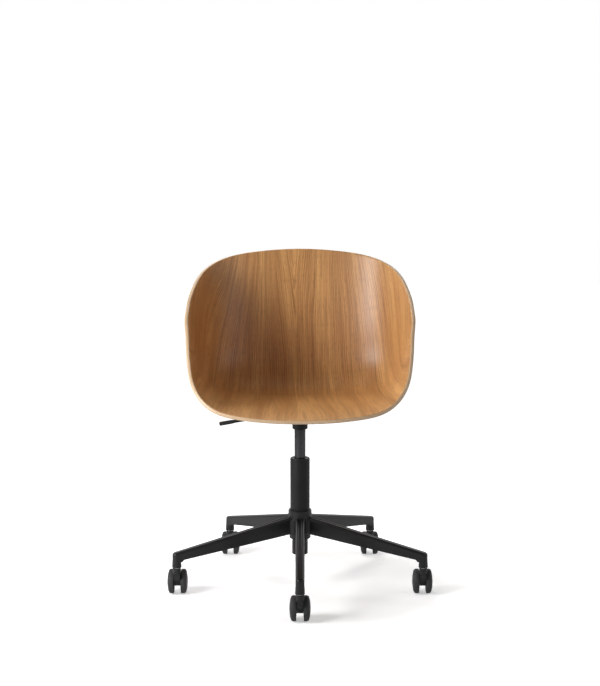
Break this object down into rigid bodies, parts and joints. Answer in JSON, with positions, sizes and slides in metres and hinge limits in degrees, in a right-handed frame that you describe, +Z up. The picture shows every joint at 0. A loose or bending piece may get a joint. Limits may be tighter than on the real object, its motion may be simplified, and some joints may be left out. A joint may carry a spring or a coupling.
{
  "type": "swivel office chair",
  "caption": "Bucket seat of bent wood-veneered plywood on a height-adjustable gas column with a black star base, a side lever and twin-wheel castors.",
  "frame": {"origin": "on the floor under the column axis, with the castors standing on z = 0", "axes": "+Z up along the column, -Y towards the front of the seat, +X towards the right as seen from in front"},
  "size_m": [0.6694, 0.6539, 0.8419],
  "materials": {
    "black_alloy": "satin",
    "black_steel": "matt",
    "black_plastic": "matt",
    "steel": "satin",
    "alloy": "satin",
    "rubber": "matt",
    "dark_chrome": "polished dark",
    "veneer": "satin lacquer",
    "brass": "satin",
    "tyre": "matt"
  },
  "bodies": {
    "base": {"star_base": "black_alloy", "standpipe": "black_steel", "guide_bush": "black_plastic", "bearing_lower_washer": "steel", "thrust_bearing": "steel", "castor_stems": "steel", "stem_grip_rings": "steel"},
    "swivel_rod": {"piston_rod": "steel", "piston_head": "alloy", "bearing_upper_washer": "steel", "rubber_buffer": "rubber", "foot_washer": "steel", "foot_clip": "steel"},
    "seat": {"gas_cylinder": "dark_chrome", "rod_seal": "rubber", "seat_mechanism": "black_steel", "lever_pivot_pin": "steel", "seat_shell": "veneer", "threaded_inserts": "brass", "spacer_pads": "black_plastic", "seat_screws": "black_steel"},
    "lever": {"lever": "black_steel", "lever_grip": "black_plastic"},
    "release_pin": {"release_pin": "steel"},
    "castor_1": {"castor_body_1": "black_plastic", "castor_axle_1": "steel"},
    "wheel_left_1": {"castor_wheel_left_1": "tyre"},
    "wheel_right_1": {"castor_wheel_right_1": "tyre"},
    "castor_2": {"castor_body_2": "black_plastic", "castor_axle_2": "steel"},
    "wheel_left_2": {"castor_wheel_left_2": "tyre"},
    "wheel_right_2": {"castor_wheel_right_2": "tyre"},
    "castor_3": {"castor_body_3": "black_plastic", "castor_axle_3": "steel"},
    "wheel_left_3": {"castor_wheel_left_3": "tyre"},
    "wheel_right_3": {"castor_wheel_right_3": "tyre"},
    "castor_4": {"castor_body_4": "black_plastic", "castor_axle_4": "steel"},
    "wheel_left_4": {"castor_wheel_left_4": "tyre"},
    "wheel_right_4": {"castor_wheel_right_4": "tyre"},
    "castor_5": {"castor_body_5": "black_plastic", "castor_axle_5": "steel"},
    "wheel_left_5": {"castor_wheel_left_5": "tyre"},
    "wheel_right_5": {"castor_wheel_right_5": "tyre"}
  },
  "joints": [
    {"name": "seat_swivel", "type": "hinge", "parent": "base", "child": "swivel_rod", "pos_m": [0, 0, 0.095], "axis": [0, 0, 1], "continuous": true},
    {"name": "seat_lift", "type": "slide", "parent": "swivel_rod", "child": "seat", "axis": [0, 0, 1], "range_m": [-0.044, 0.07]},
    {"name": "height_lever", "type": "hinge", "parent": "seat", "child": "lever", "pos_m": [-0.038, 0, 0.442], "axis": [0, 1, 0], "range_deg": [0, 6], "stiffness_Nm_per_rad": 1.5},
    {"name": "valve_button", "type": "slide", "parent": "seat", "child": "release_pin", "axis": [0, 0, -1], "range_m": [0, 0.0041]},
    {"name": "castor_swivel_1", "type": "hinge", "parent": "base", "child": "castor_1", "pos_m": [0, -0.325, 0.06], "axis": [0, 0, 1], "continuous": true},
    {"name": "wheel_spin_left_1", "type": "hinge", "parent": "castor_1", "child": "wheel_left_1", "pos_m": [-0.0165, -0.302, 0.031], "axis": [1, 0, 0], "continuous": true},
    {"name": "wheel_spin_right_1", "type": "hinge", "parent": "castor_1", "child": "wheel_right_1", "pos_m": [0.0165, -0.302, 0.031], "axis": [1, 0, 0], "continuous": true},
    {"name": "castor_swivel_2", "type": "hinge", "parent": "base", "child": "castor_2", "pos_m": [0.30909, -0.10043, 0.06], "axis": [0, 0, 1], "continuous": true},
    {"name": "wheel_spin_left_2", "type": "hinge", "parent": "castor_2", "child": "wheel_left_2", "pos_m": [0.29259, -0.07743, 0.031], "axis": [1, 0, 0], "continuous": true},
    {"name": "wheel_spin_right_2", "type": "hinge", "parent": "castor_2", "child": "wheel_right_2", "pos_m": [0.32559, -0.07743, 0.031], "axis": [1, 0, 0], "continuous": true},
    {"name": "castor_swivel_3", "type": "hinge", "parent": "base", "child": "castor_3", "pos_m": [0.19103, 0.26293, 0.06], "axis": [0, 0, 1], "continuous": true},
    {"name": "wheel_spin_left_3", "type": "hinge", "parent": "castor_3", "child": "wheel_left_3", "pos_m": [0.17453, 0.28593, 0.031], "axis": [1, 0, 0], "continuous": true},
    {"name": "wheel_spin_right_3", "type": "hinge", "parent": "castor_3", "child": "wheel_right_3", "pos_m": [0.20753, 0.28593, 0.031], "axis": [1, 0, 0], "continuous": true},
    {"name": "castor_swivel_4", "type": "hinge", "parent": "base", "child": "castor_4", "pos_m": [-0.19103, 0.26293, 0.06], "axis": [0, 0, 1], "continuous": true},
    {"name": "wheel_spin_left_4", "type": "hinge", "parent": "castor_4", "child": "wheel_left_4", "pos_m": [-0.20753, 0.28593, 0.031], "axis": [1, 0, 0], "continuous": true},
    {"name": "wheel_spin_right_4", "type": "hinge", "parent": "castor_4", "child": "wheel_right_4", "pos_m": [-0.17453, 0.28593, 0.031], "axis": [1, 0, 0], "continuous": true},
    {"name": "castor_swivel_5", "type": "hinge", "parent": "base", "child": "castor_5", "pos_m": [-0.30909, -0.10043, 0.06], "axis": [0, 0, 1], "continuous": true},
    {"name": "wheel_spin_left_5", "type": "hinge", "parent": "castor_5", "child": "wheel_left_5", "pos_m": [-0.32559, -0.07743, 0.031], "axis": [1, 0, 0], "continuous": true},
    {"name": "wheel_spin_right_5", "type": "hinge", "parent": "castor_5", "child": "wheel_right_5", "pos_m": [-0.29259, -0.07743, 0.031], "axis": [1, 0, 0], "continuous": true}
  ],
  "couplings": [
    {"joint": "valve_button", "follows": "height_lever", "m_per_rad": 0.038}
  ]
}
